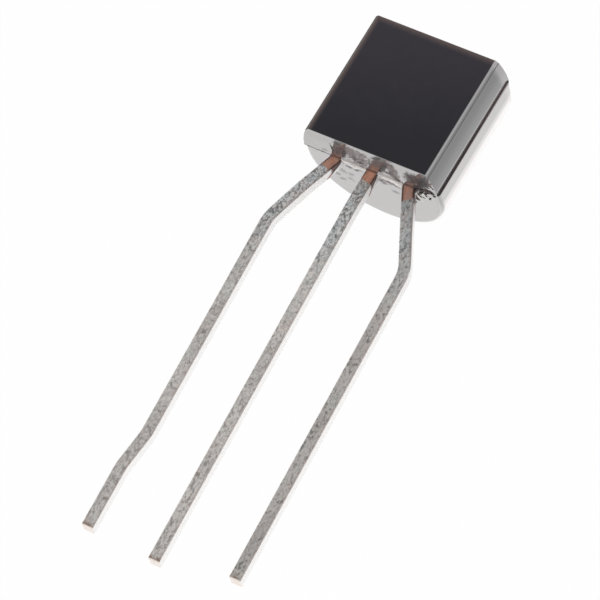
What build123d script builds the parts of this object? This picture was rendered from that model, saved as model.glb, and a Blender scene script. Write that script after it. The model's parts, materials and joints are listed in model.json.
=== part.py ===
from build123d import *
from math import asin, atan2, cos, hypot, radians, sin, sqrt, tan
import os

# A small transistor in a moulded three-lead package, lying on its round back and its lead tips.
# Lengths are in millimetres and angles in degrees.
# The package has axes of its own: u runs across it, w runs up it from the leads to the top,
# and n points out of its flat. They meet where the middle lead leaves the underside.

# Moulded body: a front half with round sides and the flat, and a round-backed half with the leads
front_width = 4.64
body_height = 4.55
flat_depth = 1.0
end_draft = 3.0
back_side = 0.48
mould_shift = 0.035
frame_shift = 0.025
rim_radius = 0.15

# The flat stands on a low land with sloping sides, stepped in from the front half's sides
land_height = 0.12
land_slope = 35.5
land_step = 0.025
top_edge_radius = 0.04
flat_edge_radius = 0.03

# Flash squeezed out of the parting line between the leads
flash_height = 0.035
flash_thickness = 0.04

# Mark left on the top where the mould was filled
gate_width = 0.9
gate_thickness = 0.3
gate_height = 0.03

# Leads: stamped from one flat strip, splayed below the body and bent back a little
lead_width = 0.39
lead_thickness = 0.38
lead_edge_bevel = 0.025
exit_pitch = 1.27
exit_radius = 0.3
left_exit_drop = 0.1
knee_drop = 2.6
knee_radius = 1.2
left_run = 2.20
right_run = 2.55
middle_reach = 13.77
right_reach = 13.32
bend_drop = 1.25
bend_angle = 6.0
bend_radius = 1.0

# The left lead is jogged aside near its end
left_jog_drop = 10.3
left_jog_length = 1.2
left_jog = 0.20
left_tail = 2.13

# Lead frame inside the body: a paddle on the left lead, and a bonding post on each of the others
paddle_bottom = 2.0
paddle_cover = 0.83
paddle_gap = 0.3
post_gap = 0.5
base_head_height = 0.55
emitter_head_width = 0.55
emitter_head_height = 1.0
head_corner_radius = 0.08

# Chip on the paddle, its solder, and the two bonding wires
die_side = 0.8
die_thickness = 0.2
solder_thickness = 0.03
solder_margin = 0.05
wire_radius = 0.03
ball_radius = 0.06
ball_height = 0.04
loop_height = 0.28
base_pad_shares = (0.1, -0.28)
emitter_pad_shares = (0.22, 0.2)

# How far a cutting or clipping shape runs past what it cuts
overrun = 0.5


def run_in(depth, angle):
    """How far a face that leans by an angle comes in over a depth."""
    return depth * tan(radians(angle))


# Sizes of the body that follow: the two halves are flush on the left and stepped on the right
front_radius = front_width / 2
back_radius = front_radius + mould_shift
crown_depth = back_side + back_radius
land_base = flat_depth - land_height
land_base_half = sqrt(front_radius**2 - land_base**2)
land_half = land_base_half - land_step
flat_half = land_half - run_in(land_height, land_slope)

# Sizes of the leads and the frame that follow
left_tip = left_run + left_jog
left_reach = left_jog_drop + left_jog_length + left_tail
longest_reach = max(left_reach, middle_reach, right_reach)
paddle_height = body_height - paddle_cover - paddle_bottom
paddle_top = paddle_bottom + paddle_height
paddle_left = -exit_pitch - lead_width / 2
paddle_right = exit_pitch - emitter_head_width / 2 - paddle_gap
base_head_width = 2 * (exit_pitch - lead_width / 2 - post_gap)
base_head_middle = paddle_bottom - paddle_gap - base_head_height / 2
emitter_head_middle = paddle_bottom + emitter_head_height / 2
die_u = (paddle_left + paddle_right) / 2
die_w = paddle_bottom + paddle_height / 2
die_top = solder_thickness + die_thickness

# On the back face of the bent strip the bend comes later along w than on the front face
bend_lag = lead_thickness * tan(radians(bend_angle / 2))
tip_back = lead_thickness + run_in(longest_reach - bend_drop + bend_lag, bend_angle)

# Resting pose: the surface touches the longest lead's tip and the rounded lower rim of the back,
# so the package leans by the tangent from that tip to the rim's circle
draft = radians(end_draft)
rim_w = (rim_radius + (crown_depth - rim_radius) * sin(draft)) / cos(draft)
rim_along = longest_reach + rim_w
rim_below = crown_depth - rim_radius - tip_back
tilt = atan2(rim_below, rim_along) + asin(rim_radius / hypot(rim_along, rim_below))
across = Vector(1, 0, 0)
upward = Vector(0, cos(tilt), sin(tilt))
outward = Vector(0, -sin(tilt), cos(tilt))
half_way = (longest_reach - body_height) / 2 * cos(tilt)
lift = longest_reach * sin(tilt) + tip_back * cos(tilt)
seat = Vector(0, half_way, lift)

# Planes of the package: on parting are u and w, on profile w and n, and on the two sections u and n,
# each with its origin in the middle of its half of the moulding, to the left of the lead frame's middle
back_seat = seat - across * frame_shift
front_seat = back_seat - across * mould_shift
parting = Plane(origin=seat, x_dir=across, z_dir=outward)
profile = Plane(origin=seat, x_dir=upward, z_dir=across)
back_section = Plane(origin=back_seat, x_dir=across, z_dir=-upward)
front_section = Plane(origin=front_seat, x_dir=across, z_dir=-upward)
up_axis = Axis(seat, upward)
out_axis = Axis(seat, outward)

os.makedirs("parts", exist_ok=True)

# Side view of the strip that the leads are stamped from: flat in the body, bent back below it
strip_end = longest_reach + overrun
strip_back = lead_thickness + run_in(strip_end - bend_drop + bend_lag, bend_angle)
with BuildSketch(profile) as bent_strip:
    with BuildLine():
        strip_front = FilletPolyline(
            (paddle_top + overrun, 0),
            (-bend_drop, 0),
            (-strip_end, -run_in(strip_end - bend_drop, bend_angle)),
            radius=bend_radius + lead_thickness,
        )
        strip_rear = FilletPolyline(
            (paddle_top + overrun, -lead_thickness),
            (-bend_drop + bend_lag, -lead_thickness),
            (-strip_end, -strip_back),
            radius=bend_radius,
        )
        Line(strip_front @ 0, strip_rear @ 0)
        Line(strip_front @ 1, strip_rear @ 1)
    make_face()

strip_spread = max(left_tip, right_run, front_width) + overrun


def form_lead(lead):
    """Gives the outline drawn for a lead the strip's thickness and bend, and breaks its edges."""
    extrude(amount=strip_back, both=True)
    extrude(bent_strip.sketch, amount=strip_spread, both=True, mode=Mode.INTERSECT)
    chamfer(lead.edges(), lead_edge_bevel)


# Left lead, with the paddle that carries the chip
with BuildPart() as collector_lead:
    with BuildSketch(parting):
        with BuildLine():
            FilletPolyline(
                (-exit_pitch, die_w),
                (-exit_pitch, -left_exit_drop),
                (-left_run, -knee_drop),
                (-left_run, -left_jog_drop),
                (-left_tip, -left_jog_drop - left_jog_length),
                (-left_tip, -left_reach),
                radius=[exit_radius, knee_radius, knee_radius, knee_radius],
            )
        trace(line_width=lead_width)
        with Locations((die_u, die_w)):
            RectangleRounded(paddle_right - paddle_left, paddle_height, head_corner_radius)
    form_lead(collector_lead)

# Middle lead, which ends in a wide post below the paddle
with BuildPart() as base_lead:
    with BuildSketch(parting):
        with BuildLine():
            Line((0, base_head_middle), (0, -middle_reach))
        trace(line_width=lead_width)
        with Locations((0, base_head_middle)):
            RectangleRounded(base_head_width, base_head_height, head_corner_radius)
    form_lead(base_lead)

# Right lead, which ends in a tall post beside the paddle
with BuildPart() as emitter_lead:
    with BuildSketch(parting):
        with BuildLine():
            FilletPolyline(
                (exit_pitch, emitter_head_middle),
                (exit_pitch, 0),
                (right_run, -knee_drop),
                (right_run, -right_reach),
                radius=[exit_radius, knee_radius],
            )
        trace(line_width=lead_width)
        with Locations((exit_pitch, emitter_head_middle)):
            RectangleRounded(emitter_head_width, emitter_head_height, head_corner_radius)
    form_lead(emitter_lead)

# Solder under the chip
with BuildPart() as die_solder:
    with BuildSketch(parting):
        with Locations((die_u, die_w)):
            Rectangle(die_side + 2 * solder_margin, die_side + 2 * solder_margin)
    extrude(amount=solder_thickness)

# Silicon chip
with BuildPart() as silicon_die:
    with BuildSketch(parting.offset(solder_thickness)):
        with Locations((die_u, die_w)):
            Rectangle(die_side, die_side)
    extrude(amount=die_thickness)


def bond_wire(pad_shares, post_u, post_w, lead):
    """A wire with a ball on the chip, straight up from it and then sloping down to a lead's post."""
    pad_u = die_u + pad_shares[0] * die_side
    pad_w = die_w + pad_shares[1] * die_side
    with BuildPart() as wire:
        with BuildLine(parting) as loop:
            Polyline(
                (pad_u, pad_w, die_top),
                (pad_u, pad_w, die_top + loop_height),
                (post_u, post_w, -wire_radius),
            )
        with BuildSketch(Plane(origin=loop.line @ 0, z_dir=loop.line % 0)):
            Circle(wire_radius)
        sweep(path=loop.line, transition=Transition.RIGHT)
        with BuildSketch(parting.offset(die_top)):
            with Locations((pad_u, pad_w)):
                Circle(ball_radius)
        extrude(amount=ball_height)
        add(lead.part, mode=Mode.SUBTRACT)
    return wire


base_wire = bond_wire(base_pad_shares, 0, base_head_middle, base_lead)
emitter_wire = bond_wire(emitter_pad_shares, exit_pitch, emitter_head_middle, emitter_lead)

sealed_in = {
    "collector_lead": collector_lead,
    "base_lead": base_lead,
    "emitter_lead": emitter_lead,
    "die_solder": die_solder,
    "silicon_die": silicon_die,
    "base_wire": base_wire,
    "emitter_wire": emitter_wire,
}


def drafted_ends(reach):
    """Side view of one half out to a reach, with ends that lean in from the parting line."""
    lean = run_in(abs(reach), end_draft)
    with BuildSketch(profile) as side_view:
        Polygon((0, 0), (body_height, 0), (body_height - lean, reach), (lean, reach), align=None)
    return side_view.sketch


clip_width = back_radius + frame_shift + overrun

# Front half of the moulding, which the mould set a little to one side
with BuildPart() as front_half:
    # Section: round sides, a narrow step, and the sloping sides of the land that end at the flat
    with BuildSketch(front_section):
        with BuildLine():
            Line((0, 0), (front_radius, 0))
            TangentArc((front_radius, 0), (land_base_half, land_base), tangent=(0, 1))
            Polyline(
                (land_base_half, land_base),
                (land_half, land_base),
                (flat_half, flat_depth),
                (0, flat_depth),
            )
            mirror(about=Plane.YZ)
        make_face()
    extrude(amount=-body_height)
    extrude(drafted_ends(flat_depth + overrun), amount=clip_width, both=True, mode=Mode.INTERSECT)

    # The flat is rounded along its top and just broken along its foot
    flat = front_half.faces().sort_by(out_axis)[-1]
    fillet(flat.edges().sort_by(up_axis)[-1], top_edge_radius)
    flat = front_half.faces().sort_by(out_axis)[-1]
    fillet(flat.edges().sort_by(up_axis)[0], flat_edge_radius)

# Moulded body, cast round everything above
with BuildPart() as epoxy_body:
    # Round-backed half, with drafted ends and a softened rim at each end of the back
    with BuildSketch(back_section):
        with BuildLine():
            Line((-back_radius, 0), (back_radius, 0))
            Line((back_radius, 0), (back_radius, -back_side))
            ThreePointArc((back_radius, -back_side), (0, -crown_depth), (-back_radius, -back_side))
            Line((-back_radius, -back_side), (-back_radius, 0))
        make_face()
    extrude(amount=-body_height)
    extrude(drafted_ends(-crown_depth - overrun), amount=clip_width, both=True, mode=Mode.INTERSECT)
    ends = epoxy_body.faces().sort_by(up_axis)
    lower_rim = ends[0].edges().sort_by(out_axis)[:-1]
    upper_rim = ends[-1].edges().sort_by(out_axis)[:-1]
    fillet(lower_rim + upper_rim, rim_radius)

    add(front_half.part)

    # Flash on the parting line, from lead to lead
    with BuildSketch(parting):
        with GridLocations(exit_pitch, 0, 2, 1):
            Rectangle(exit_pitch - lead_width, 2 * flash_height)
    extrude(amount=flash_thickness / 2, both=True)

    # Broken gate on the parting line at the top
    with BuildSketch(parting):
        with Locations((0, body_height)):
            Rectangle(gate_width, 2 * gate_height)
    extrude(amount=gate_thickness / 2, both=True)

    for piece in sealed_in.values():
        add(piece.part, mode=Mode.SUBTRACT)

nodes = {"epoxy_body": epoxy_body, **sealed_in}
for node, piece in nodes.items():
    piece.part.label = node
    export_step(piece.part, f"parts/{node}.step")
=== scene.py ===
"""Looks of a small transistor in a moulded three-lead package, lying on a pale studio floor."""

import json
import logging
import random
from dataclasses import dataclass
from enum import Enum
from math import asin, pi, radians
from typing import Any, Mapping, Optional, Sequence, Union

import bmesh
import bpy
from mathutils import Euler, Matrix, Vector, noise


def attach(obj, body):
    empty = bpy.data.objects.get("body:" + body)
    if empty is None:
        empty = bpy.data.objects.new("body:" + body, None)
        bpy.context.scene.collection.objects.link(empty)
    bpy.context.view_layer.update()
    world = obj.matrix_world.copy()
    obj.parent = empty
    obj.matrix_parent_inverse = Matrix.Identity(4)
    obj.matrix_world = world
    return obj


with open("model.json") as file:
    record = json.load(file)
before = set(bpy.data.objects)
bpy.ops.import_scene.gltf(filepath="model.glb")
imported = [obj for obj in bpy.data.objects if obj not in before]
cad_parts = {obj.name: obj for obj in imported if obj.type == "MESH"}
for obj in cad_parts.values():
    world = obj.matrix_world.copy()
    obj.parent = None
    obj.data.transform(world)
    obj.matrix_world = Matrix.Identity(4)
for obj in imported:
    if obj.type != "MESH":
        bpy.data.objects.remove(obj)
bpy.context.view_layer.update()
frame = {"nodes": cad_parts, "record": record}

log = logging.getLogger("transistor")

MM = 0.001
BODY = "root"

Triple = tuple[float, float, float]
Colour = Triple
Span = tuple[float, float]
Number = Union[float, "Reading"]


def moved(span: Span, by: float) -> Span:
    """Moves a span's two ends by a distance."""
    return span[0] + by, span[1] + by


class Node(Enum):
    """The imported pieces, by the names that the frame gives them."""

    EPOXY_BODY = "epoxy_body"
    COLLECTOR_LEAD = "collector_lead"
    BASE_LEAD = "base_lead"
    EMITTER_LEAD = "emitter_lead"
    DIE_SOLDER = "die_solder"
    SILICON_DIE = "silicon_die"
    BASE_WIRE = "base_wire"
    EMITTER_WIRE = "emitter_wire"


class Slot(Enum):
    """A material slot of the record; no piece here takes its finish from it."""

    EPOXY = "epoxy"


@dataclass(frozen=True)
class PackageAxes:
    """The package's own axes in the frame: u across it, w up it from the leads, n out of its flat."""

    seat: Vector
    tilt: float

    @classmethod
    def from_flat(cls, record: Mapping[str, Any], flat_middle: Vector) -> "PackageAxes":
        """Finds the axes from the flat that the record states as a mount.

        Args:
            record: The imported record.
            flat_middle: The flat's middle in the package's axes, in millimetres.

        Returns:
            The axes, with their seat where the middle lead leaves the underside.
        """
        flat = next(mount for mount in record["mounts"] if mount["name"] == "flat_front")
        tilt = -asin(flat["axis"][1])
        seat = Vector(flat["pos_m"]) - Matrix.Rotation(tilt, 3, "X") @ flat_middle * MM
        return cls(seat, tilt)

    def place(self, u: float, w: float, n: float) -> Vector:
        """Turns a package point in millimetres into a frame point in metres."""
        return self.seat + self.direction(u, w, n) * MM

    def direction(self, u: float, w: float, n: float) -> Vector:
        """Turns a package direction into a frame direction."""
        return Matrix.Rotation(self.tilt, 3, "X") @ Vector((u, w, n))

    def matrix(self) -> Matrix:
        """Gives the matrix from package millimetres to frame metres."""
        turned = Matrix.Rotation(self.tilt, 4, "X") @ Matrix.Scale(MM, 4)
        return Matrix.Translation(self.seat) @ turned


class Reading:
    """A value that changes over a surface: a socket whose arithmetic adds Math nodes."""

    def __init__(self, bench: "Bench", socket: bpy.types.NodeSocket) -> None:
        """Wraps a socket of a bench's node tree."""
        self.bench = bench
        self.socket = socket

    def other(self, output: Union[str, int]) -> "Reading":
        """Gives another output of the same node."""
        return Reading(self.bench, self.socket.node.outputs[output])

    def _math(self, operation: str, first: Number, second: Number) -> "Reading":
        """Adds a Math node for one operation on two values."""
        return self.bench.add("ShaderNodeMath", {"operation": operation}, {0: first, 1: second})

    def __add__(self, value: Number) -> "Reading":
        """Adds a value."""
        return self._math("ADD", self, value)

    __radd__ = __add__

    def __sub__(self, value: Number) -> "Reading":
        """Takes a value away."""
        return self._math("SUBTRACT", self, value)

    def __rsub__(self, value: Number) -> "Reading":
        """Is taken away from a value."""
        return self._math("SUBTRACT", value, self)

    def __mul__(self, value: Number) -> "Reading":
        """Multiplies by a value."""
        return self._math("MULTIPLY", self, value)

    __rmul__ = __mul__

    def __neg__(self) -> "Reading":
        """Changes the sign."""
        return self._math("MULTIPLY", self, -1.0)

    def __abs__(self) -> "Reading":
        """Drops the sign."""
        return self._math("ABSOLUTE", self, 0.0)

    def at_least(self, value: Number) -> "Reading":
        """Takes the larger of this and a value."""
        return self._math("MAXIMUM", self, value)

    def at_most(self, value: Number) -> "Reading":
        """Takes the smaller of this and a value."""
        return self._math("MINIMUM", self, value)


@dataclass(frozen=True)
class Grain:
    """Soft noise: grains to the unit of length, octaves of detail and their strength."""

    scale: float
    detail: float = 2.0
    rough: float = 0.5


class Bench:
    """The node tree of one material or of the world, with the few nodes that finishes are made of."""

    def __init__(self, tree: bpy.types.NodeTree) -> None:
        """Starts from an empty tree."""
        self.tree = tree
        tree.nodes.clear()

    def add(
        self,
        kind: str,
        settings: Mapping[str, Any],
        sockets: Mapping[Union[str, int], Any],
        output: Union[str, int] = 0,
    ) -> Reading:
        """Adds a node.

        Args:
            kind: The node's type.
            settings: Its settings, set first; stops are a ramp's positions and colours.
            sockets: Values or links for its inputs, by name or number.
            output: The output to hand back.

        Returns:
            That output, or the first input of a node that has none.
        """
        node = self.tree.nodes.new(kind)
        for name, value in settings.items():
            if name == "stops":
                self._set_stops(node.color_ramp, value)
            else:
                setattr(node, name, value)
        for name, value in sockets.items():
            if isinstance(value, Reading):
                self.tree.links.new(value.socket, node.inputs[name])
            else:
                node.inputs[name].default_value = value
        return Reading(self, node.outputs[output] if node.outputs else node.inputs[0])

    @staticmethod
    def _set_stops(ramp: bpy.types.ColorRamp, stops: Sequence[tuple[float, Colour]]) -> None:
        """Gives a ramp its stops.

        Args:
            ramp: The ramp.
            stops: Positions and colours.
        """
        while len(ramp.elements) < len(stops):
            ramp.elements.new(1.0)
        for element, (position, colour) in zip(ramp.elements, stops):
            element.position = position
            element.color = (*colour, 1.0)

    def coordinates(self) -> Reading:
        """Gives Object coordinates, with the surface's normal as the same node's other output."""
        return self.add("ShaderNodeTexCoord", {}, {}, "Object")

    def package(self, axes: PackageAxes, coordinates: Reading) -> Reading:
        """Turns Object coordinates into package coordinates.

        Args:
            axes: The package's axes.
            coordinates: Object coordinates.

        Returns:
            The place in the package, in millimetres.
        """
        sockets = {
            "Vector": coordinates,
            "Location": axes.seat,
            "Rotation": (axes.tilt, 0.0, 0.0),
            "Scale": (MM, MM, MM),
        }
        return self.add("ShaderNodeMapping", {"vector_type": "TEXTURE"}, sockets)

    def stretch(self, place: Reading, scale: Triple) -> Reading:
        """Scales a place along its three axes."""
        return self.add("ShaderNodeVectorMath", {"operation": "MULTIPLY"}, {0: place, 1: scale})

    def split(self, vector: Reading) -> tuple[Reading, Reading, Reading]:
        """Gives a vector's three parts."""
        first = self.add("ShaderNodeSeparateXYZ", {}, {0: vector})
        return first, first.other(1), first.other(2)

    def along(self, vector: Reading, direction: Vector) -> Reading:
        """Gives how far a vector runs along a direction."""
        sockets = {0: vector, 1: direction}
        return self.add("ShaderNodeVectorMath", {"operation": "DOT_PRODUCT"}, sockets, "Value")

    def away(self, place: Reading, mark: "Mark") -> Reading:
        """Gives how far a package place is from a mark's middle.

        Args:
            place: Place in the package.
            mark: The mark.

        Returns:
            The distance, 1 at the mark's edge; how high the place is makes no odds.
        """
        sockets = {
            "Vector": place,
            "Location": (mark.u, 0.0, mark.n),
            "Rotation": (0.0, -radians(mark.angle), 0.0),
            "Scale": (mark.half_long, 1.0 / MM, mark.half_wide),
        }
        local = self.add("ShaderNodeMapping", {"vector_type": "TEXTURE"}, sockets)
        return self.add("ShaderNodeVectorMath", {"operation": "LENGTH"}, {0: local}, "Value")

    def noise(self, place: Reading, grain: Grain) -> Reading:
        """Gives soft noise from 0 to 1."""
        sockets = {"Vector": place, "Scale": grain.scale, "Detail": grain.detail, "Roughness": grain.rough}
        return self.add("ShaderNodeTexNoise", {}, sockets)

    def rise(self, value: Reading, low: float, high: float) -> Reading:
        """Gives 0 below one value and 1 above another, with a smooth rise between them."""
        sockets = {"Value": value, "From Min": low, "From Max": high}
        return self.add("ShaderNodeMapRange", {"interpolation_type": "SMOOTHSTEP"}, sockets)

    def within(self, value: Reading, low: float, high: float, soft: float) -> Reading:
        """Gives 1 between two values and 0 outside them, with soft edges."""
        return self.rise(value, low - soft, low + soft) * (1 - self.rise(value, high - soft, high + soft))

    def mix(self, share: Number, first: Any, second: Any, blend: str = "MIX") -> Reading:
        """Mixes two colours.

        Args:
            share: Share of the second, from 0 to 1.
            first: A colour or a reading.
            second: A colour or a reading.
            blend: MIX to cover the first with the second, or MULTIPLY to tint it.

        Returns:
            The mixed colour.
        """
        first, second = (c if isinstance(c, Reading) else (*c, 1.0) for c in (first, second))
        settings = {"data_type": "RGBA", "blend_type": blend}
        return self.add("ShaderNodeMix", settings, {0: share, 6: first, 7: second}, 2)

    def bump(self, height: Reading, depth_mm: float) -> Reading:
        """Turns a height from 0 to 1 into a normal for relief of that depth."""
        return self.add("ShaderNodeBump", {}, {"Distance": depth_mm * MM, "Height": height}, "Normal")

    def grazing(self) -> Reading:
        """Gives how flatly a surface is seen, from 0 head on to 1 along it, for its gloss."""
        return self.add("ShaderNodeLayerWeight", {}, {"Blend": 0.5}, "Facing")

    def finish(
        self,
        sockets: Mapping[str, Any],
        gloss: Optional[Mapping[str, Any]] = None,
        share: Number = 0.0,
    ) -> None:
        """Adds the surface shader and the output.

        Args:
            sockets: Values or links of the shader's sockets.
            gloss: Those of a glossier shader to mix in, if there is one.
            share: The glossier shader's share.
        """
        shader = self.add("ShaderNodeBsdfPrincipled", {}, sockets)
        if gloss:
            over = self.add("ShaderNodeBsdfPrincipled", {}, gloss)
            shader = self.add("ShaderNodeMixShader", {}, {0: share, 1: shader, 2: over})
        self.add("ShaderNodeOutputMaterial", {}, {"Surface": shader})


def new_bench(name: str) -> tuple[bpy.types.Material, Bench]:
    """Makes a material.

    Args:
        name: Its name.

    Returns:
        The material, and the bench for its nodes.
    """
    material = bpy.data.materials.new(name)
    material.use_nodes = True
    return material, Bench(material.node_tree)


def dress(piece: bpy.types.Object, material: bpy.types.Material) -> None:
    """Gives a piece one material all over.

    Args:
        piece: The piece.
        material: The material.
    """
    if not piece.material_slots:
        piece.data.materials.append(material)
    for slot in piece.material_slots:
        slot.material = material
    log.info("dressed %s in %s", piece.name, material.name)


@dataclass(frozen=True)
class Surface:
    """A surface: its bench, its place in the package in millimetres and its facing along u, w and n."""

    bench: Bench
    place: Reading
    u: Reading
    w: Reading
    n: Reading
    aside: Reading
    up: Reading
    out: Reading

    @classmethod
    def of(cls, bench: Bench, axes: PackageAxes) -> "Surface":
        """Reads the surface that a material covers.

        Args:
            bench: The material's bench.
            axes: The package's axes.

        Returns:
            The surface.
        """
        coordinates = bench.coordinates()
        place = bench.package(axes, coordinates)
        normal = coordinates.other("Normal")
        facing = (bench.along(normal, axes.direction(*axis)) for axis in Matrix.Identity(3))
        return cls(bench, place, *bench.split(place), *facing)


class Tone(Enum):
    """Colours of the marks on the underside: stains, painted reflections of the copper stubs and a painted
    shadow.
    """

    # Each tone serves stains and painted reflections of the copper stubs; the first also a painted shadow
    # below the flash.
    FILM_SHADOW_AND_REFLECTION = (0.172, 0.120, 0.115)
    RUST_AND_REFLECTION = (0.082, 0.056, 0.056)
    SOOT_AND_REFLECTION = (0.050, 0.047, 0.048)


@dataclass(frozen=True)
class Mark:
    """A ragged oval mark on the underside: millimetres along u and n, and degrees from u."""

    u: float
    n: float
    half_long: float
    half_wide: float
    angle: float
    strength: float


# Stains from handling and bled resin, and painted reflections of each lead's copper stub and dark sides
# beside its exit, with a painted shadow below the flash; from the left lead to the right
MARKS: Mapping[Tone, tuple[Mark, ...]] = {
    Tone.FILM_SHADOW_AND_REFLECTION: (
        Mark(-0.47, 0.45, 0.52, 0.42, -25, 0.85),
        Mark(-0.74, 0.56, 0.26, 0.24, 0, 0.75),
        Mark(-0.60, 0.76, 0.24, 0.14, 0, 0.75),
        Mark(-0.26, 0.68, 0.24, 0.18, 0, 0.80),
        Mark(-0.27, 0.24, 0.20, 0.15, 20, 0.80),
        Mark(-0.50, -0.30, 0.14, 0.08, 0, 0.55),
        Mark(-1.22, -0.80, 0.24, 0.16, -20, 0.45),
        Mark(-1.48, -1.18, 0.14, 0.11, 0, 0.60),
        Mark(-1.31, -1.40, 0.14, 0.09, 20, 0.55),
        Mark(-0.97, -1.20, 0.14, 0.12, 0, 0.45),
        Mark(-0.92, -0.86, 0.18, 0.12, 40, 0.40),
        Mark(0.77, 0.50, 0.54, 0.20, -75, 0.90),
        Mark(0.66, 0.68, 0.24, 0.20, 30, 0.90),
        Mark(0.86, 0.14, 0.28, 0.14, -40, 0.90),
        Mark(0.28, -0.44, 0.22, 0.15, -30, 0.80),
        Mark(0.55, -0.33, 0.26, 0.11, -12, 0.85),
        Mark(0.80, -0.40, 0.20, 0.09, -15, 0.65),
    ),
    Tone.RUST_AND_REFLECTION: (
        Mark(-1.10, 0.48, 0.36, 0.20, 65, 0.85),
        Mark(-0.58, 0.33, 0.13, 0.08, 10, 0.90),
        Mark(-0.38, 0.22, 0.13, 0.075, 20, 0.95),
        Mark(-0.22, 0.42, 0.08, 0.07, 0, 0.70),
        Mark(-0.88, -0.36, 0.13, 0.09, 0, 0.75),
        Mark(0.25, 0.54, 0.32, 0.20, 65, 0.75),
        Mark(0.63, 0.27, 0.19, 0.10, 5, 0.90),
        Mark(0.87, 0.15, 0.15, 0.075, -60, 0.85),
        Mark(0.96, -0.02, 0.10, 0.05, -60, 0.85),
        Mark(1.50, 0.48, 0.38, 0.31, 40, 1.00),
        Mark(1.98, 0.42, 0.16, 0.11, 80, 0.85),
        Mark(1.50, -0.38, 0.30, 0.10, -75, 0.85),
    ),
    Tone.SOOT_AND_REFLECTION: (
        Mark(-0.93, 0.33, 0.28, 0.085, 72, 0.92),
        Mark(-1.33, 0.40, 0.24, 0.055, -80, 0.90),
        Mark(-1.12, 0.82, 0.16, 0.10, 20, 0.75),
        Mark(-1.64, 0.17, 0.14, 0.07, 10, 0.40),
        Mark(-0.34, 0.06, 0.08, 0.05, 10, 0.90),
        Mark(-0.65, -0.37, 0.12, 0.09, 0, 0.85),
        Mark(0.48, 0.47, 0.36, 0.085, 72, 0.92),
        Mark(0.27, 0.84, 0.24, 0.09, 31, 0.85),
        Mark(-0.03, 0.45, 0.24, 0.05, 80, 0.75),
        Mark(0.81, 0.76, 0.11, 0.06, -40, 0.60),
        Mark(0.65, -0.84, 0.16, 0.10, 0, 0.50),
        Mark(1.30, 0.62, 0.12, 0.09, 30, 0.90),
        Mark(1.81, 0.48, 0.42, 0.17, 75, 0.92),
        Mark(1.74, 0.07, 0.20, 0.08, 15, 0.90),
        Mark(2.04, 0.12, 0.18, 0.07, -10, 0.85),
    ),
}


@dataclass(frozen=True)
class EpoxyPlaces:
    """The body's regions, each from 0 outside it to 1 inside it."""

    flat: Reading
    under: Reading
    parting: Reading
    ledge: Reading
    left_land: Reading
    flash_highlight: Reading
    parting_highlight: Reading
    hidden: Reading
    back_side: Reading
    shine: Reading


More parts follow.
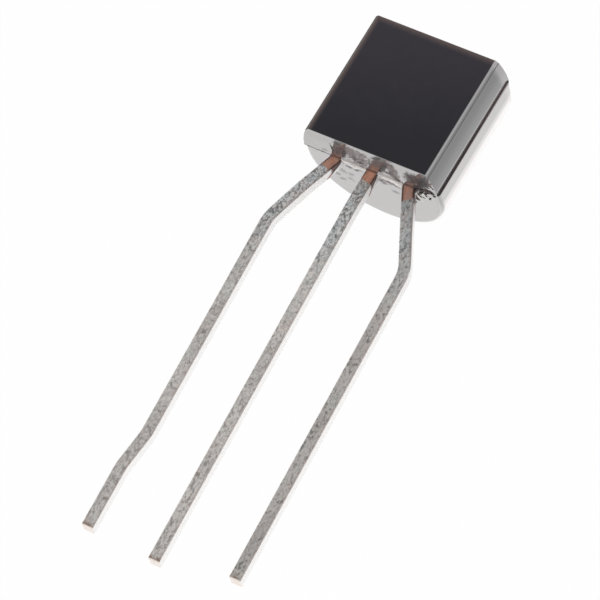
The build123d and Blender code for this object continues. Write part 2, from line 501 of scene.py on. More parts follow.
@dataclass(frozen=True)
class MouldedEpoxy:
    """Black moulding epoxy: a satin flat and glossy sides, both with painted light, and a glossy, stained
    underside with painted reflections, a painted shadow and painted highlights.

    A span is where a region starts and where it is full, in millimetres of the package's axes. A third number
    is how soft a band's two ends are.
    """

    # The flat's colours: lighter towards the top and the left as painted light, clouded at random.
    flat_low: Colour = (0.0082, 0.0076, 0.0148)
    flat_high: Colour = (0.0335, 0.0275, 0.0410)
    # A lighter brown for a painted highlight along the flat's top and left edges.
    rim_highlight: Colour = (0.165, 0.118, 0.106)
    black: Colour = (0.0115, 0.0105, 0.0130)
    # Pale grey on the black underside, with metal, as a painted reflection that makes it look bright.
    underside_reflection: Colour = (0.360, 0.340, 0.337)
    gloss: Colour = (0.985, 0.930, 0.925)
    # A pale colour for a painted highlight at the right end of the ledge.
    ledge_edge_highlight: Colour = (0.74, 0.70, 0.69)
    sheen: Colour = (0.285, 0.265, 0.270)
    # A pale colour for a painted highlight on the underside along the parting line, between the leads.
    parting_highlight: Colour = (0.66, 0.63, 0.62)
    ledge_low: Colour = (0.060, 0.045, 0.042)
    ledge_high: Colour = (0.125, 0.090, 0.081)
    # Near white for the flash under the body: a painted highlight along the parting line.
    flash_highlight: Colour = (0.95, 0.90, 0.87)

    grain: Grain = Grain(9.0, 4.0, 0.6)
    cloud: Grain = Grain(2.2, 3.0, 0.55)
    wander: Grain = Grain(8.0, 4.0, 0.7)
    speckle: Grain = Grain(17.0, 3.0, 0.65)

    flat_roughness: float = 0.42
    side_roughness: float = 0.12
    dull_roughness: float = 0.55
    grain_roughness: float = 0.06
    relief: float = 0.0016
    ior: float = 1.5
    coat_ior: float = 2.5
    coat_roughness: float = 0.06
    under_metal: float = 0.8
    satin_share: float = 0.75
    worn_coat: float = 0.15

    parting_band: Triple = (-0.012, 0.010, 0.008)
    ledge_taper: float = 0.006
    ledge_fade: Span = (-0.012, 0.002)
    land_step: Span = (-0.01, 0.0)
    land_line: Triple = (0.93, 0.985, 0.02)
    foot_start: Span = (0.0, 0.01)
    foot_fade: Span = (0.04, 0.24)
    back_start: Span = (0.0, 0.03)
    parting_highlight_band: Triple = (0.0, 0.13, 0.015)
    parting_highlight_reach: Triple = (0.21, 1.06, 0.01)
    flash_drop: Span = (0.002, 0.006)
    top_glow: Span = (-0.55, 0.0)

    flat_light_rise: Span = (0.9, 5.6)
    top_rim_highlight: Span = (-0.32, -0.01)
    left_rim_highlight: Span = (-0.10, 0.06)
    worn_start: float = 0.6
    worn_soft: float = 0.2
    ledge_shade_start: float = 1.0
    fringe_start: Span = (1.42, 1.5)
    fringe_edge: Span = (0.012, 0.04)

    mark_edge: Span = (0.5, 1.2)
    mark_wander: float = 1.6
    mark_solid: float = 0.65
    film_shadow_and_reflection_wander: float = 2.2
    film_shadow_and_reflection_solid: float = 0.55

    def material(self, axes: PackageAxes, body: "MouldedBody") -> bpy.types.Material:
        """Makes the finish.

        Args:
            axes: The package's axes.
            body: The moulded body, for its sizes.

        Returns:
            The material.
        """
        material, bench = new_bench("moulded_epoxy")
        on = Surface.of(bench, axes)
        at = self.places(on, body)
        colour, dull = self.colours(on, body, at)
        grain = bench.noise(on.place, self.grain)
        worn = bench.within(on.n, self.worn_start, body.land_base, self.worn_soft) * self.worn_coat
        rough = (at.flat.at_least(at.hidden) * self.flat_roughness).at_least(dull * self.dull_roughness)
        grazing = bench.grazing()
        faint = bench.rise(grazing, 0.35, 0.60) * 0.35
        full = bench.rise(grazing, 0.62, 0.82) * 0.65
        bench.finish(
            {
                "Base Color": colour,
                "Metallic": (at.under * self.under_metal).at_least(at.shine) * (1 - dull),
                "Roughness": rough.at_least(self.side_roughness) + (grain - 0.5) * self.grain_roughness,
                "Coat Weight": (1 - at.flat) * (1 - dull) * (1 - worn) * (1 - at.hidden * self.satin_share),
                "Coat IOR": self.coat_ior,
                "Coat Roughness": self.coat_roughness,
                "IOR": self.ior,
                "Normal": bench.bump(grain, self.relief),
            },
            {"Base Color": (*self.gloss, 1.0), "Metallic": 1.0, "Roughness": self.side_roughness},
            (faint + full) * at.back_side,
        )
        return material

    def places(self, on: Surface, body: "MouldedBody") -> EpoxyPlaces:
        """Tells the body's regions apart by where they are and which way they face.

        Args:
            on: The surface.
            body: The moulded body, for its sizes.

        Returns:
            The regions.
        """
        bench, u, w, n = on.bench, on.u, on.w, on.n
        aside, up, out = on.aside, on.up, on.out
        under = bench.rise(-up, 0.75, 0.95)
        parting = bench.within(n, *self.parting_band)
        parting = parting * bench.rise(aside + out, 0.5, 0.8)
        ledge_end = bench.rise(u + w * self.ledge_taper, *moved(self.ledge_fade, body.ledge_end))
        left_land = bench.rise(n, *moved(self.land_step, body.land_base)) * bench.rise(-aside, 0.3, 0.5)
        land_glow = bench.within(n, *self.land_line) * bench.rise(aside, 0.4, 0.6)
        right = bench.rise(aside, 0.6, 0.8)
        foot_glow = bench.rise(n, *self.foot_start) * (1 - bench.rise(n, *self.foot_fade)) * right
        top_glow = bench.rise(w, *moved(self.top_glow, body.height)) * right
        shine = (land_glow * 0.24).at_least(foot_glow * 0.6)
        hidden = bench.rise(up, 0.4, 0.8).at_least(bench.rise(-aside, 0.2, 0.6))
        hidden = hidden.at_least(bench.rise(-out, 0.6, 0.9))
        # Painted highlight: a pale band on the underside along the parting line, between the leads.
        parting_highlight = bench.within(n, *self.parting_highlight_band)
        return EpoxyPlaces(
            flat=bench.rise(out, 0.70, 0.90) * bench.rise(n, body.land_base, body.flat_depth),
            under=under,
            parting=parting,
            ledge=parting * (1 - ledge_end),
            left_land=left_land,
            flash_highlight=bench.rise(-w, *self.flash_drop),
            parting_highlight=parting_highlight * bench.within(abs(u), *self.parting_highlight_reach) * under,
            hidden=hidden * (1 - left_land),
            back_side=bench.rise(-n, *self.back_start) * bench.rise(aside, 0.2, 0.5),
            shine=shine.at_least(top_glow * 0.45),
        )

    def colours(self, on: Surface, body: "MouldedBody", at: EpoxyPlaces) -> tuple[Reading, Reading]:
        """Colours the regions and lays the marks over them.

        Args:
            on: The surface.
            body: The moulded body, for its sizes.
            at: The regions.

        Returns:
            The colour, and how far the gloss is lost, from 0 to 1.
        """
        bench, u, w, n = on.bench, on.u, on.w, on.n
        cloud = bench.noise(on.place, self.cloud)
        wander = bench.noise(on.place, self.wander) - 0.5
        speckle = bench.noise(on.place, self.speckle)
        # Painted highlight along the flat's top and left edges.
        top_rim_highlight = bench.rise(w + wander * 0.10, *moved(self.top_rim_highlight, body.height))
        left_rim_highlight = bench.rise(-u + wander * 0.05, *moved(self.left_rim_highlight, body.flat_half))
        # The underside's painted reflection, clouded at random.
        underside_reflection = (cloud * 0.3 + 0.85).at_most(1.0)
        # Painted light on the flat: lighter towards the top and the left, clouded at random.
        height = w + cloud * 1.6 - u * 0.3

        flat_with_painted_light = bench.mix(bench.rise(height, *self.flat_light_rise), self.flat_low, self.flat_high)
        flat_with_painted_light = bench.mix(top_rim_highlight.at_least(left_rim_highlight * 0.8), flat_with_painted_light, self.rim_highlight)
        colour = bench.mix(at.flat.at_least(at.left_land), self.black, flat_with_painted_light)
        colour = bench.mix(at.under * underside_reflection, colour, self.underside_reflection)
        # Painted highlight at the right end of the ledge on the parting line.
        colour = bench.mix(at.parting, colour, self.ledge_edge_highlight)
        colour = bench.mix(bench.rise(at.shine, 0.0, 0.3), colour, self.sheen)
        colour = bench.mix(at.parting_highlight, colour, self.parting_highlight)
        dull = at.parting.at_least(at.flash_highlight).at_least(at.left_land).at_least(at.parting_highlight)
        fringe = 1 - bench.rise(abs(n - wander * 0.16), *self.fringe_edge)
        fringe = bench.rise(-u, *self.fringe_start) * fringe * at.under * 0.8
        # Stains, and painted reflections of the copper stubs with a painted shadow below the flash.
        for tone in Tone:
            marked = self.marked(on, tone, wander, speckle) * at.under
            if tone is Tone.SOOT_AND_REFLECTION:
                marked = marked.at_least(fringe)
            colour = bench.mix(marked, colour, tone.value)
            dull = dull.at_least((marked * 1.2).at_most(1.0))
        edge = bench.mix(bench.rise(w, self.ledge_shade_start, body.height), self.ledge_low, self.ledge_high)
        colour = bench.mix(at.ledge, colour, edge)
        return bench.mix(at.flash_highlight, colour, self.flash_highlight), dull

    def marked(self, on: Surface, tone: Tone, wander: Reading, speckle: Reading) -> Reading:
        """Gives how strongly the underside is marked in one tone.

        Args:
            on: The surface.
            tone: The tone of the marks.
            wander: Noise about 0 that makes the marks' edges ragged.
            speckle: Finer noise that breaks the marks up.

        Returns:
            From 0, clean, to 1, marked.
        """
        bench, film_shadow_and_reflection = on.bench, tone is Tone.FILM_SHADOW_AND_REFLECTION
        ragged = wander * (self.film_shadow_and_reflection_wander if film_shadow_and_reflection else self.mark_wander)
        solid = self.film_shadow_and_reflection_solid if film_shadow_and_reflection else self.mark_solid
        total: Number = 0.0
        for mark in MARKS[tone]:
            outside = bench.rise(bench.away(on.place, mark) + ragged, *self.mark_edge)
            total = ((1 - outside) * mark.strength).at_least(total)
        return total * (bench.rise(speckle, 0.38, 0.58) * (1 - solid) + solid)


@dataclass(frozen=True)
class LeadPlaces:
    """Where a place on a lead is, which way it faces and the noise there."""

    below: Reading
    across: Reading
    front: Reading
    right: Reading
    end: Reading
    near: Reading
    streak: Reading
    speck: Reading
    clump: Reading


@dataclass(frozen=True)
class TinnedCopper:
    """Dull mottled tin over copper: bare copper next to the body with a painted highlight down its middle and
    painted shade along its edges, bright cut edges, rusty ends.

    A span is where something starts and where it is full, in millimetres.
    """

    light_tin: Colour = (1.0, 0.985, 0.965)
    mid_tin: Colour = (0.80, 0.788, 0.772)
    deep_tin: Colour = (0.54, 0.537, 0.532)
    dark_tin: Colour = (0.22, 0.215, 0.210)
    dull_tin: Colour = (0.78, 0.772, 0.770)
    green_tin: Colour = (0.94, 1.00, 0.97)
    blue_tin: Colour = (0.93, 0.97, 1.00)
    warm_tin: Colour = (1.00, 0.972, 0.950)
    pink_tin: Colour = (1.00, 0.93, 0.91)
    brown_tin: Colour = (0.40, 0.32, 0.29)
    cut_tin: Colour = (0.97, 0.955, 0.945)
    orange_copper: Colour = (1.0, 0.47, 0.30)
    brown_copper: Colour = (0.55, 0.275, 0.215)
    # A pale copper colour for painted highlights.
    copper_highlight: Colour = (0.98, 0.66, 0.50)
    dark_copper: Colour = (0.055, 0.026, 0.020)
    pink_copper: Colour = (0.50, 0.27, 0.24)
    grey_copper: Colour = (0.44, 0.335, 0.310)
    end_copper: Colour = (0.97, 0.88, 0.82)
    rust: Colour = (0.36, 0.23, 0.17)

    streak: Triple = (1.0, 0.65, 1.0)
    speck: Grain = Grain(20.0, 3.0, 0.7)
    clump: Grain = Grain(6.0, 3.0, 0.6)
    tint: Grain = Grain(2.6)
    grain: Grain = Grain(13.0, 4.0, 0.75)
    patch: Grain = Grain(1.1)

    front_roughness: float = 0.38
    side_roughness: float = 0.30
    speck_roughness: float = 0.2
    copper_metal: float = 0.25
    relief: float = 0.013
    least_relief: float = 1.2
    near_relief: float = 2.0

    end_depth: Span = (6.0, 7.0)
    near_fade: Span = (1.5, 5.0)
    coarseness: float = 1.35
    least_pitting: float = 0.68
    coarse_pitting: float = 0.38
    frost_pitting: float = -0.30
    least_frost: float = 0.8
    patch_share: float = 0.6
    brown_edge: Span = (0.13, 0.18)
    rust_length: float = 0.22
    # Painted shade along the stub's edges, by distance from its middle.
    rim_shade: Span = (0.135, 0.185)
    seam: Span = (-0.055, -0.015)

    bare_edge: Span = (-0.025, 0.025)
    side_edge: Span = (-0.02, 0.02)
    side_end: Span = (-0.48, -0.40)
    side_start: float = 0.06
    side_slope: float = 0.25
    side_bend: float = 0.35
    line_edge: Span = (0.03, 0.07)
    line_end: Span = (-0.70, -0.66)
    line_dark: Span = (-0.52, -0.40)

    def material(self, axes: PackageAxes, lead: "Lead") -> bpy.types.Material:
        """Makes the finish.

        Args:
            axes: The package's axes.
            lead: The lead that wears it, for its place, its wear and its bare length.

        Returns:
            The material.
        """
        material, bench = new_bench("tinned_" + lead.node.value)
        on = Surface.of(bench, axes)
        at = self.places(on, lead)
        tin, frost = self.tin(on, at, lead)
        drift = on.n + at.below * self.side_slope + at.below * at.below * self.side_bend + self.side_start
        line = 1 - bench.rise(abs(drift), *self.line_edge)
        line = line * bench.rise(on.w, *self.line_end) * at.right
        limit = at.across * lead.slant - lead.stub
        bare_front = bench.rise(on.w - limit + (at.clump - 0.5) * 0.14, *self.bare_edge)
        bare_right = bench.rise(drift, *self.side_edge) * bench.rise(on.w, *self.side_end)
        bare = bare_front * (1 - at.right) + bare_right * at.right
        line_colour = bench.mix(bench.rise(on.w, *self.line_dark), self.pink_copper, self.dark_copper)
        colour = bench.mix(bare, tin, self.copper(on, at, lead))
        rough = at.front * (self.front_roughness - self.side_roughness) + self.side_roughness
        relief = at.speck * (at.near * self.near_relief + self.least_relief)
        bench.finish(
            {
                "Base Color": bench.mix(line, colour, line_colour),
                "Metallic": 1 - (bare.at_least(line) * (1 - self.copper_metal)).at_least(frost),
                "Roughness": rough + (at.speck - 0.5) * self.speck_roughness,
                "Normal": bench.bump(relief, self.relief),
            }
        )
        return material

    def places(self, on: Surface, lead: "Lead") -> LeadPlaces:
        """Tells where a place is on the lead and which way it faces.

        Args:
            on: The surface.
            lead: The lead.

        Returns:
            The place, its facing and its noise.
        """
        bench = on.bench
        below = (-on.w).at_least(0.0)
        streak = bench.stretch(on.place, self.streak)
        return LeadPlaces(
            below=below,
            across=lead.across(on.u, below),
            front=bench.rise(on.out, 0.45, 0.62),
            right=bench.rise(on.aside, 0.55, 0.75),
            end=bench.rise(-on.up, 0.55, 0.8) * bench.rise(-on.w, *self.end_depth),
            near=1 - bench.rise(below, *self.near_fade),
            streak=streak,
            speck=bench.noise(streak, self.speck),
            clump=bench.noise(streak, self.clump),
        )

    def tin(self, on: Surface, at: LeadPlaces, lead: "Lead") -> tuple[Reading, Reading]:
        """Colours the tin.

        Args:
            on: The surface.
            at: The place on the lead.
            lead: The lead, for its frost and its reach.

        Returns:
            The colour, and how frosted and so less metallic it is, from 0 to 1.
        """
        bench = on.bench
        grain = bench.noise(at.streak, self.grain)
        tint = bench.noise(on.place, self.tint)
        coarse = (at.near * lead.frost * self.coarseness).at_most(1.0)
        pitting = coarse * self.coarse_pitting + (self.least_pitting + lead.frost * self.frost_pitting)
        pitted = bench.rise(at.clump * 0.5 - grain * 0.5, 0.015, 0.10) * pitting
        frost = bench.rise(grain, 0.46, 0.58) * (1 - pitted)
        frost = frost * (at.near * (1 - self.least_frost) + self.least_frost) * lead.frost * at.front
        dull = bench.rise(bench.noise(at.streak, self.patch), 0.42, 0.62) * 0.5
        brown = bench.rise(at.across + (at.speck - 0.5) * 0.1, *self.brown_edge)
        rusty = at.below + (at.clump - 0.5) * 0.5
        rusty = bench.rise(rusty, lead.reach - self.rust_length, lead.reach) * at.front

        shade = bench.mix(coarse, self.mid_tin, self.deep_tin)
        tin = bench.mix(bench.rise(grain, 0.44, 0.56), shade, self.light_tin)
        tin = bench.mix(pitted, tin, self.dark_tin)
        for share, colour in (
            (dull, self.dull_tin),
            (bench.rise(tint, 0.45, 0.60) * at.near, self.blue_tin),
            (1 - at.near, self.warm_tin),
            (1 - lead.frost, self.dull_tin),
            (bench.rise(tint, 0.55, 0.70) * self.patch_share, self.green_tin),
            (bench.rise(-tint, -0.47, -0.30) * self.patch_share, self.pink_tin),
        ):
            tin = bench.mix(share, tin, colour, "MULTIPLY")
        tin = bench.mix(brown * 0.6, tin, self.brown_tin)
        cut = bench.mix(bench.rise(at.speck, 0.55, 0.75) * 0.35, self.cut_tin, self.light_tin)
        tin = bench.mix(at.front, cut, tin)
        tin = bench.mix(rusty * 0.8, tin, self.rust)
        return bench.mix(at.end, tin, self.end_copper), frost

    def copper(self, on: Surface, at: LeadPlaces, lead: "Lead") -> Reading:
        """Colours the bare copper, with a painted highlight down its middle, pale painted highlights and
        painted shade along its edges.

        Args:
            on: The surface.
            at: The place on the lead.
            lead: The lead, for its tarnish.

        Returns:
            The colour.
        """
        bench = on.bench
        # The stub is painted lighter down its middle as a highlight and darker along its edges as shade.
        glow = at.speck * 0.5 + at.clump * 0.5 - abs(at.across) * 0.7
        rim_shade = bench.rise(abs(at.across) + (at.speck - 0.5) * 0.08, *self.rim_shade) * at.front
        seam = bench.rise(on.w, *self.seam)
        # Pale spots on the copper are painted highlights.
        pale = bench.rise(at.speck, 0.60, 0.72) * 0.6
        tarnish = bench.rise(at.clump, 0.38, 0.56) * lead.tarnish
        copper = bench.mix(bench.rise(glow, 0.32, 0.52), self.brown_copper, self.orange_copper)
        copper = bench.mix(pale, copper, self.copper_highlight)
        copper = bench.mix(tarnish, copper, self.grey_copper)
        copper = bench.mix((rim_shade * 0.9).at_least(seam * 0.6), copper, self.dark_copper)
        return bench.mix(at.right * 0.75, copper, self.dark_copper)


@dataclass(frozen=True)
class PlainMetal:
    """A clean metal for the pieces sealed in the body, with a faint grain."""

    name: str
    colour: Colour
    roughness: float
    grain: Grain = Grain(12.0 / MM, 3.0)
    grain_roughness: float = 0.1
    shade: float = 0.8

    def material(self) -> bpy.types.Material:
        """Makes the finish.

        Returns:
            The material.
        """
        material, bench = new_bench(self.name)
        grain = bench.noise(bench.coordinates(), self.grain)
        bench.finish(
            {
                "Base Color": bench.mix(grain, self.colour, tuple(self.shade * part for part in self.colour)),
                "Metallic": 1.0,
                "Roughness": grain * self.grain_roughness + self.roughness,
            }
        )
        return material


@dataclass(frozen=True)
class BledResin:
    """Resin that bled out of the mould: dark, with pale parts, glossy and partly metallic, that are painted
    glints and highlights.
    """

    name: str
    paleness: float
    glow: float
    dark: Colour = (0.040, 0.030, 0.029)
    brown: Colour = (0.19, 0.145, 0.135)
    # Pale colour for painted glints and highlights.
    pale: Colour = (0.93, 0.88, 0.85)
    grain: Grain = Grain(14.0, 4.0, 0.65)
    glint_grain: Grain = Grain(9.0)
    brown_grain: Span = (0.35, 0.65)
    glint_level: Span = (0.98, 1.02)
    roughness: float = 0.25
    grain_roughness: float = 0.4
    ior: float = 1.5
    coat_ior: float = 2.5
    coat_roughness: float = 0.3
    relief: float = 0.006

    def material(self) -> bpy.types.Material:
        """Makes the finish.

        Returns:
            The material.
        """
        material, bench = new_bench(self.name)
        place = bench.stretch(bench.coordinates(), (1 / MM,) * 3)
        grain = bench.noise(place, self.grain)
        # Pale, glossy patches: painted glints and highlights.
        glint_mask = bench.rise(bench.noise(place, self.glint_grain), *moved(self.glint_level, -self.paleness))
        colour = bench.mix(bench.rise(grain, *self.brown_grain), self.dark, self.brown)
        bench.finish(
            {
                "Base Color": bench.mix(glint_mask, colour, self.pale),
                "Roughness": grain * self.grain_roughness + self.roughness,
                "IOR": self.ior,
                "Metallic": glint_mask * self.glow,
                "Coat Weight": glint_mask,
                "Coat IOR": self.coat_ior,
                "Coat Roughness": self.coat_roughness,
                "Normal": bench.bump(grain, self.relief),
            }
        )
        return material


@dataclass(frozen=True)
class MouldedBody:
    """The moulded body, in millimetres."""

    height: float = 4.55
    flat_depth: float = 1.0
    land_base: float = 0.88
    flat_half: float = 2.036
    front_shift: float = 0.06
    ledge_end: float = 2.33

    def flat_middle(self) -> Vector:
        """Gives the middle of the flat in the package's axes."""
        return Vector((-self.front_shift, self.height / 2, self.flat_depth))

    def dress(self, axes: PackageAxes) -> None:
        """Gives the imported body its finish."""
        dress(frame["nodes"][Node.EPOXY_BODY.value], MouldedEpoxy().material(axes, self))


@dataclass(frozen=True)
class Lead:
    """One lead, in millimetres below the body and to the right.

    It leaves the body at exit_u, runs straight, then aside by run down to its knee and by jog farther down,
    and ends at its reach. Its copper is bare for a stub that ends on a slant. Tarnish is the share of greyed
    copper, and frost that of bright grains in the tin.
    """

    node: Node
    exit_u: float
    run: float
    reach: float
    stub: float
    slant: float
    tarnish: float
    frost: float
    straight: float = 0.0
    jog: float = 0.0
    knee: float = 2.6
    jog_start: float = 10.3
    jog_length: float = 1.2

    def across(self, u: Reading, below: Reading) -> Reading:
        """Gives how far a place is to the right of the lead's middle.

        Args:
            u: Place across the package.
            below: How far the place is below the body.

        Returns:
            The distance, left negative.
        """
        splay = (below - self.straight).at_least(0.0).at_most(self.knee - self.straight)
        aside = (below - self.jog_start).at_least(0.0).at_most(self.jog_length)
        middle = splay * (self.run / (self.knee - self.straight)) + aside * (self.jog / self.jog_length)
        return u - self.exit_u - middle

    def dress(self, axes: PackageAxes) -> None:
        """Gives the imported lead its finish."""
        dress(frame["nodes"][self.node.value], TinnedCopper().material(axes, self))


@dataclass(frozen=True)
class SealedCircuit:
    """The chip, its solder and its wires, which the body hides."""

    finishes: tuple[tuple[Node, PlainMetal], ...] = (
        (Node.DIE_SOLDER, PlainMetal("soft_solder", (0.50, 0.50, 0.52), 0.35)),
        (Node.SILICON_DIE, PlainMetal("polished_silicon", (0.20, 0.21, 0.25), 0.15)),
        (Node.BASE_WIRE, PlainMetal("drawn_gold_base", (0.83, 0.62, 0.25), 0.25)),
        (Node.EMITTER_WIRE, PlainMetal("drawn_gold_emitter", (0.83, 0.62, 0.25), 0.25)),
    )

    def dress(self) -> None:
        """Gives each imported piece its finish."""
        for node, finish in self.finishes:
            dress(frame["nodes"][node.value], finish.material())


@dataclass(frozen=True)
class Strip:
    """A thin ragged strip of resin between two edges, each a few package points in millimetres."""

    first: tuple[Triple, ...]
    second: tuple[Triple, ...]
    thickness: float = 0.016
    ragged: float = 0.02
    least_ragged: float = 0.4
    ripples: float = 9.0
    long_steps: int = 22
    wide_steps: int = 3

    @staticmethod
    def along(edge: Sequence[Triple], share: float) -> Vector:
        """Gives the point at a share of the way along an edge.

        Args:
            edge: The edge's points.
            share: From 0, its start, to 1, its end.

        Returns:
            The point.
        """
        run = share * (len(edge) - 1)
        step = min(int(run), len(edge) - 2)
        return Vector(edge[step]).lerp(Vector(edge[step + 1]), run - step)

    def add_to(self, shape: bmesh.types.BMesh) -> None:
        """Adds the strip to a shape.

        Args:
            shape: The shape.
        """
        steps = {"x_segments": self.long_steps, "y_segments": self.wide_steps}
        corners = bmesh.ops.create_grid(shape, **steps, size=0.5)["verts"]
        for corner in corners:
            run, side = corner.co.x + 0.5, corner.co.y + 0.5
            point = self.along(self.first, run).lerp(self.along(self.second, run), side)
            stray = noise.noise_vector(point * self.ripples) * self.ragged
            corner.co = point + stray * (self.least_ragged + side)
        faces = list(dict.fromkeys(face for corner in corners for face in corner.link_faces))
        bmesh.ops.solidify(shape, geom=faces, thickness=self.thickness)


@dataclass(frozen=True)
class ResinBleed:
    """Resin that bled out round the leads: crumbs by the right lead, slivers and flash, the flash painted
    pale as the highlight along the parting line.

    A crumb is its place in the package and its radius, in millimetres.
    """

    crumbs: tuple[tuple[float, float, float, float], ...] = (
        (1.50, -0.03, -0.14, 0.055),
        (1.50, 0.00, -0.40, 0.060),
        (1.50, 0.01, -0.60, 0.065),
        (1.53, -0.12, -0.36, 0.050),
        (1.59, -0.24, -0.36, 0.045),
        (1.57, 0.00, -0.52, 0.045),
        (1.60, -0.02, -0.26, 0.040),
        (1.70, -0.02, -0.14, 0.055),
        (1.79, 0.00, -0.33, 0.050),
        (1.86, -0.01, -0.08, 0.040),
        (1.96, 0.00, -0.33, 0.030),
        (1.88, -0.01, 0.12, 0.060),
        (2.00, -0.01, 0.10, 0.065),
        (2.11, 0.00, 0.08, 0.050),
        (2.16, 0.00, -0.03, 0.035),
        (1.60, -0.02, 0.04, 0.055),
        (1.74, -0.02, 0.06, 0.050),
        (1.50, -0.01, 0.10, 0.045),
    )
    slivers: tuple[Strip, ...] = (
        Strip(
            ((1.47, -0.05, -0.10), (1.57, -0.06, -0.38), (1.69, -0.04, -0.60)),
            ((1.53, -0.03, -0.10), (1.63, -0.03, -0.38), (1.73, -0.02, -0.58)),
        ),
        Strip(
            ((1.70, -0.05, -0.10), (1.79, -0.05, -0.22), (1.90, -0.03, -0.34)),
            ((1.76, -0.03, -0.08), (1.85, -0.03, -0.20), (1.93, -0.02, -0.33)),
        ),
        Strip(
            ((2.04, 0.00, 0.42), (2.10, 0.00, 0.36), (2.16, 0.00, 0.30)),
            ((2.06, 0.00, 0.46), (2.13, 0.00, 0.42), (2.19, 0.00, 0.36)),
        ),
    )
    # Thin strips of flash, painted pale as the highlight along the parting line.
    flash_highlight: tuple[Strip, ...] = (
        Strip(
            ((-1.07, 0.01, -0.02), (-0.85, 0.01, -0.09), (-0.68, 0.01, -0.16))
            + ((-0.46, 0.01, -0.10), (-0.21, 0.01, -0.06)),
            ((-1.07, -0.02, -0.04), (-0.85, -0.02, -0.15), (-0.68, -0.03, -0.23))
            + ((-0.46, -0.02, -0.14), (-0.21, -0.02, -0.09)),
        ),
        Strip(
            ((0.21, 0.01, -0.02), (0.45, 0.01, -0.06), (0.70, 0.01, -0.10), (1.00, 0.01, -0.20)),
            ((0.21, -0.02, -0.06), (0.45, -0.02, -0.11), (0.70, -0.02, -0.15), (1.00, -0.03, -0.28)),
        ),
    )

    crumb_finish: BledResin = BledResin("bled_resin", paleness=0.24, glow=0.0)
    sliver_finish: BledResin = BledResin("broken_resin", paleness=0.62, glow=0.15)
    # The flash's finish is nearly all pale: a painted highlight.
    flash_highlight_finish: BledResin = BledResin("resin_flash_highlight", paleness=0.80, glow=0.6)
    crumb_seed: int = 7
    strip_seed: int = 7
    crumb_faceting: int = 2
    crumb_lumps: float = 0.6
    lump_scale: float = 1.6
    lump_spread: float = 40.0
    crumb_long: Span = (0.8, 1.6)
    crumb_high: float = 0.7
    crumb_wide: Span = (0.7, 1.2)

    def build(self, axes: PackageAxes) -> None:
        """Makes the pieces and fixes them to the body.

        Args:
            axes: The package's axes.
        """
        self.add_piece("resin_crumbs", self.crumb_shape(), axes, self.crumb_finish)
        self.add_piece("resin_slivers", self.strip_shape(self.slivers), axes, self.sliver_finish)
        self.add_piece("resin_flash_highlight", self.strip_shape(self.flash_highlight), axes, self.flash_highlight_finish)

    def add_piece(self, name: str, shape: bmesh.types.BMesh, axes: PackageAxes, finish: BledResin) -> None:
        """Makes a piece of a shape in package millimetres.

        Args:
            name: The piece's name.
            shape: Its shape, which is freed.
            axes: The package's axes.
            finish: Its finish.
        """
        bmesh.ops.transform(shape, matrix=axes.matrix(), verts=shape.verts)
        bmesh.ops.recalc_face_normals(shape, faces=shape.faces)
        mesh = bpy.data.meshes.new(name)
        shape.to_mesh(mesh)
        shape.free()
        piece = bpy.data.objects.new(name, mesh)
        bpy.context.scene.collection.objects.link(piece)
        dress(piece, finish.material())
        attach(piece, BODY)

    def crumb_shape(self) -> bmesh.types.BMesh:
        """Makes the ragged crumbs.

        Returns:
            Their shape.
        """
        draw = random.Random(self.crumb_seed)
        shape = bmesh.new()
        for *place, radius in self.crumbs:
            middle = Vector(place)
            made = bmesh.ops.create_icosphere(shape, subdivisions=self.crumb_faceting, radius=1.0)["verts"]
            for corner in made:
                lump = noise.noise(corner.co * self.lump_scale + middle * self.lump_spread)
                corner.co *= 1.0 + self.crumb_lumps * lump
            turn = Euler([draw.uniform(-pi, pi) for _ in range(3)]).to_matrix().to_4x4()
            stretch = (draw.uniform(*self.crumb_long), self.crumb_high, draw.uniform(*self.crumb_wide), 1.0)
            lay = Matrix.Translation(middle) @ Matrix.Diagonal(stretch)
            bmesh.ops.transform(shape, matrix=lay @ turn @ Matrix.Scale(radius, 4), verts=made)
        return shape

    def strip_shape(self, strips: Sequence[Strip]) -> bmesh.types.BMesh:
        """Makes thin strips.

        Args:
            strips: The strips.

        Returns:
            Their shape.
        """
        noise.seed_set(self.strip_seed)
        shape = bmesh.new()
        for strip in strips:
            strip.add_to(shape)
        return shape


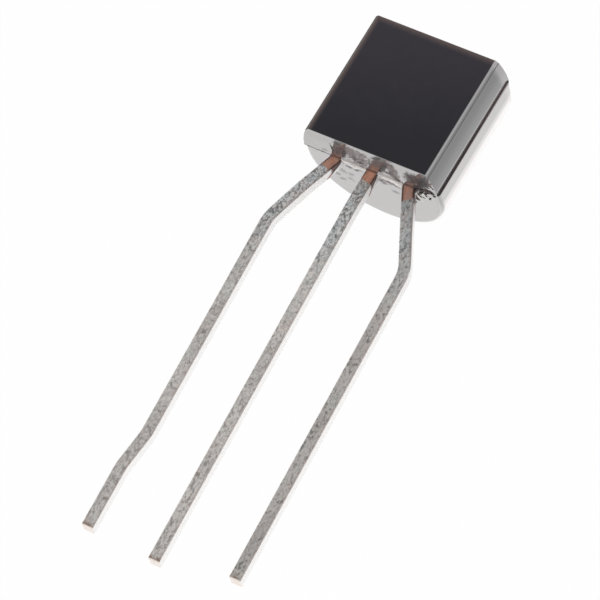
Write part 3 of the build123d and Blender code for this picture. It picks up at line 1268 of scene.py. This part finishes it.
@dataclass(frozen=True)
class Studio:
    """A pale floor, soft light all round and a large softbox low on the right, in metres."""

    floor_size: float = 4.0
    floor_tone: float = 0.95
    backdrop_share: float = 0.985
    horizon: float = 1.0
    zenith: float = 0.50
    horizon_height: float = 0.15
    zenith_height: float = 0.6
    softbox_direction: Triple = (0.85, 0.34, 0.40)
    softbox_distance: float = 0.6
    softbox_size: float = 0.30
    softbox_watts: float = 0.20

    def set_up(self) -> None:
        """Lays the floor and hangs the lights."""
        self.lay_floor()
        self.hang_sky()
        self.hang_softbox()

    def lay_floor(self) -> None:
        """Makes the floor that the part lies on, white to the eye and with the part's shadow."""
        mesh = bpy.data.meshes.new("floor")
        shape = bmesh.new()
        bmesh.ops.create_grid(shape, x_segments=1, y_segments=1, size=self.floor_size / 2)
        shape.to_mesh(mesh)
        shape.free()
        floor = bpy.data.objects.new("floor", mesh)
        bpy.context.scene.collection.objects.link(floor)
        dress(floor, self.floor_material())

    def floor_material(self) -> bpy.types.Material:
        """Makes the floor's finish: pale and matt, and white where it is seen or mirrored.

        Returns:
            The material.
        """
        material, bench = new_bench("pale_floor")
        seen = bench.add("ShaderNodeLightPath", {}, {}, "Is Camera Ray")
        mirrored = seen.other("Is Glossy Ray") + seen.other("Is Transmission Ray")
        share = (seen + mirrored).at_most(1.0) * self.backdrop_share
        matt = bench.add("ShaderNodeBsdfDiffuse", {}, {"Color": (*(self.floor_tone,) * 3, 1.0)})
        white = bench.add("ShaderNodeEmission", {}, {"Strength": 1.0})
        mixed = bench.add("ShaderNodeMixShader", {}, {0: share, 1: matt, 2: white})
        bench.add("ShaderNodeOutputMaterial", {}, {"Surface": mixed})
        return material

    def hang_sky(self) -> None:
        """Makes the soft light all round, white at the horizon and dimmer overhead."""
        world = bpy.data.worlds.new("studio")
        world.use_nodes = True
        bpy.context.scene.world = world
        bench = Bench(world.node_tree)
        direction = bench.add("ShaderNodeTexCoord", {}, {}, "Generated")
        height = bench.split(direction)[2]
        stops = [(self.horizon_height, (self.horizon,) * 3), (self.zenith_height, (self.zenith,) * 3)]
        light = bench.add("ShaderNodeValToRGB", {"stops": stops}, {0: height})
        sky = bench.add("ShaderNodeBackground", {}, {"Color": light, "Strength": 1.0})
        bench.add("ShaderNodeOutputWorld", {}, {"Surface": sky})

    def hang_softbox(self) -> None:
        """Hangs the square softbox, which the camera doesn't see."""
        lamp = bpy.data.lights.new("right_softbox", "AREA")
        lamp.size = self.softbox_size
        lamp.energy = self.softbox_watts
        holder = bpy.data.objects.new("right_softbox", lamp)
        bpy.context.scene.collection.objects.link(holder)
        towards = Vector(self.softbox_direction)
        holder.location = towards.normalized() * self.softbox_distance
        holder.rotation_euler = (-towards).to_track_quat("-Z", "Y").to_euler()
        holder.visible_camera = False


@dataclass(frozen=True)
class PortraitCamera:
    """The camera at the photograph's viewing angle, in millimetres and degrees of the package's axes."""

    aim: Triple = (-0.4725, -4.1476, -1.5435)
    distance: float = 167.7
    azimuth: float = 45.3076
    elevation: float = 58.2107
    roll: float = 18.2881
    lens: float = 333.6
    sensor: float = 36.0
    clip: Span = (0.1, 100.0)

    def set_up(self, axes: PackageAxes) -> None:
        """Makes the camera and hands it to the scene.

        Args:
            axes: The package's axes.
        """
        data = bpy.data.cameras.new("portrait")
        data.lens = self.lens
        data.sensor_width = self.sensor
        data.clip_start, data.clip_end = (self.distance * MM * share for share in self.clip)
        camera = bpy.data.objects.new("portrait", data)
        bpy.context.scene.collection.objects.link(camera)
        lean = Matrix.Translation(axes.place(*self.aim)) @ Matrix.Rotation(axes.tilt, 4, "X")
        turn = Matrix.Rotation(radians(self.azimuth), 4, "Z")
        tip = Matrix.Rotation(pi / 2 - radians(self.elevation), 4, "X")
        roll = Matrix.Rotation(-radians(self.roll), 4, "Z")
        camera.matrix_world = lean @ turn @ tip @ roll @ Matrix.Translation((0, 0, self.distance * MM))
        bpy.context.scene.camera = camera


LEADS = (
    Lead(Node.COLLECTOR_LEAD, exit_u=-1.27, run=-0.93, reach=13.63, stub=0.44, slant=-0.36, tarnish=0.4,
         frost=0.70, straight=0.1, jog=-0.2),
    Lead(Node.BASE_LEAD, exit_u=0.0, run=0.0, reach=13.77, stub=0.40, slant=-0.20, tarnish=0.1, frost=0.74),
    Lead(Node.EMITTER_LEAD, exit_u=1.27, run=1.28, reach=13.32, stub=0.44, slant=0.62, tarnish=0.6,
         frost=0.18),
)


def main() -> None:
    """Dresses each piece, adds the bled resin, then sets up the floor, the light and the camera."""
    logging.basicConfig(level=logging.INFO, format="%(message)s")
    bpy.context.scene.view_settings.view_transform = "Standard"
    body = MouldedBody()
    axes = PackageAxes.from_flat(frame["record"], body.flat_middle())
    body.dress(axes)
    for lead in LEADS:
        lead.dress(axes)
    SealedCircuit().dress()
    ResinBleed().build(axes)
    Studio().set_up()
    PortraitCamera().set_up(axes)


if __name__ == "__main__":
    main()
